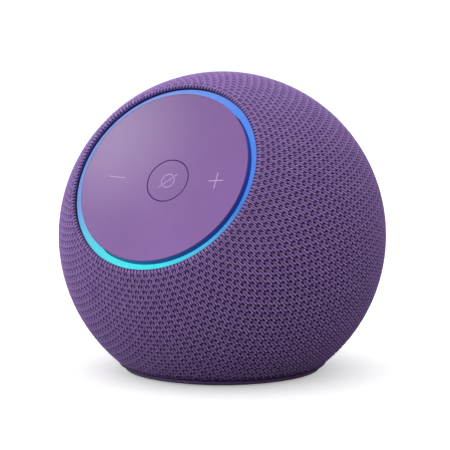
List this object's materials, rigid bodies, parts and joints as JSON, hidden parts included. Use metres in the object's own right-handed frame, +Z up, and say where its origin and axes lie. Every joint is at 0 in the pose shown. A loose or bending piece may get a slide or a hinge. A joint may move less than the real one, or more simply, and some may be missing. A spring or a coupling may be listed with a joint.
{
  "type": "smart speaker",
  "caption": "Round tabletop smart speaker in a knitted cover, with a tilted dished control panel, rocking volume edges, a mute button, and a ring of light.",
  "frame": {"origin": "centre of the underside, at the foot, straight below the sphere's centre", "axes": "+Z up; the control panel faces -Y and tilts up by 30.2 degrees; the power inlet is at +Y"},
  "size_m": [0.1086, 0.1081, 0.0992],
  "materials": {
    "knit_fabric": "knitted, matt",
    "panel_satin": "satin",
    "button_satin": "satin",
    "ring_diffuser": "frosted",
    "trim_plastic": "plain",
    "housing_plastic": "plain",
    "base_plastic": "plain",
    "foot_rubber": "matt",
    "inner_plastic": "plain",
    "white_plastic": "plain",
    "steel_plate": "plain",
    "screw_steel": "plain",
    "aluminium_fin": "plain",
    "shield_tin": "plain",
    "magnet_ferrite": "plain",
    "coil_copper": "plain",
    "cone_paper": "plain",
    "surround_rubber": "plain",
    "spider_cloth": "plain",
    "dome_silk": "plain",
    "circuit_board": "plain",
    "chip_epoxy": "plain",
    "switch_plastic": "plain",
    "plunger_plastic": "plain",
    "flex_film": "plain",
    "wire_pvc": "plain",
    "contact_brass": "plain"
  },
  "bodies": {
    "speaker": {"amplifier_chip": "chip_epoxy", "antenna": "circuit_board", "baffle_plate": "inner_plastic", "base_foot": "foot_rubber", "base_plate": "base_plastic", "base_screw_1": "screw_steel", "base_screw_2": "screw_steel", "base_screw_3": "screw_steel", "base_trim": "trim_plastic", "board_frame": "inner_plastic", "board_screw_1": "screw_steel", "board_screw_2": "screw_steel", "control_board": "circuit_board", "dc_jack_body": "switch_plastic", "dc_jack_pin": "contact_brass", "fabric_cover": "knit_fabric", "heat_sink": "aluminium_fin", "inlet_bezel": "trim_plastic", "led_strip": "white_plastic", "light_baffle": "inner_plastic", "light_ring": "ring_diffuser", "lower_housing": "housing_plastic", "main_board": "circuit_board", "mute_switch": "switch_plastic", "panel_chassis": "inner_plastic", "panel_flex_cable": "flex_film", "pivot_post_lower": "inner_plastic", "pivot_post_upper": "inner_plastic", "power_lead": "wire_pvc", "processor_chip": "chip_epoxy", "processor_shield": "shield_tin", "sound_deflector": "inner_plastic", "sound_grille": "housing_plastic", "tweeter_frame": "inner_plastic", "tweeter_magnet": "magnet_ferrite", "tweeter_waveguide": "inner_plastic", "tweeter_yoke": "steel_plate", "upper_housing": "housing_plastic", "volume_down_switch": "switch_plastic", "volume_up_switch": "switch_plastic", "woofer_basket": "steel_plate", "woofer_front_plate": "steel_plate", "woofer_magnet": "magnet_ferrite", "woofer_screw_1": "screw_steel", "woofer_screw_2": "screw_steel", "woofer_screw_3": "screw_steel", "woofer_screw_4": "screw_steel", "woofer_spider": "spider_cloth", "woofer_surround": "surround_rubber", "woofer_yoke": "steel_plate"},
    "panel": {"control_panel": "panel_satin"},
    "button": {"mute_button": "button_satin"},
    "mute_click_body": {"mute_plunger": "plunger_plastic"},
    "down_click_body": {"volume_down_plunger": "plunger_plastic"},
    "up_click_body": {"volume_up_plunger": "plunger_plastic"},
    "woofer_motor": {"woofer_cone": "cone_paper", "woofer_dust_cap": "cone_paper", "woofer_voice_coil": "coil_copper"},
    "tweeter_motor": {"tweeter_dome": "dome_silk", "tweeter_voice_coil": "coil_copper"}
  },
  "joints": [
    {"name": "panel_rock", "type": "hinge", "parent": "speaker", "child": "panel", "pos_m": [0, -0.03319, 0.06417], "axis": [0, 0.503, 0.8643], "range_deg": [-0.9, 0.9], "stiffness_Nm_per_rad": 2.5},
    {"name": "mute_press", "type": "slide", "parent": "panel", "child": "button", "axis": [0, 0.8643, -0.503], "range_m": [0, 0.0003], "stiffness_N_per_m": 2000},
    {"name": "mute_click", "type": "slide", "parent": "speaker", "child": "mute_click_body", "axis": [0, 0.8643, -0.503], "range_m": [0, 0.0003]},
    {"name": "volume_down_click", "type": "slide", "parent": "speaker", "child": "down_click_body", "axis": [0, 0.8643, -0.503], "range_m": [0, 0.0003], "stiffness_N_per_m": 2000},
    {"name": "volume_up_click", "type": "slide", "parent": "speaker", "child": "up_click_body", "axis": [0, 0.8643, -0.503], "range_m": [0, 0.0003], "stiffness_N_per_m": 2000},
    {"name": "woofer_stroke", "type": "slide", "parent": "speaker", "child": "woofer_motor", "axis": [0, 0, 1], "range_m": [-0.0025, 0.0025], "stiffness_N_per_m": 1300, "deforming": ["woofer_surround", "woofer_spider"]},
    {"name": "tweeter_stroke", "type": "slide", "parent": "speaker", "child": "tweeter_motor", "axis": [0, -0.866, -0.5], "range_m": [-0.0003, 0.0003], "stiffness_N_per_m": 900}
  ],
  "couplings": [
    {"joint": "mute_click", "follows": "mute_press", "ratio": 1}
  ]
}
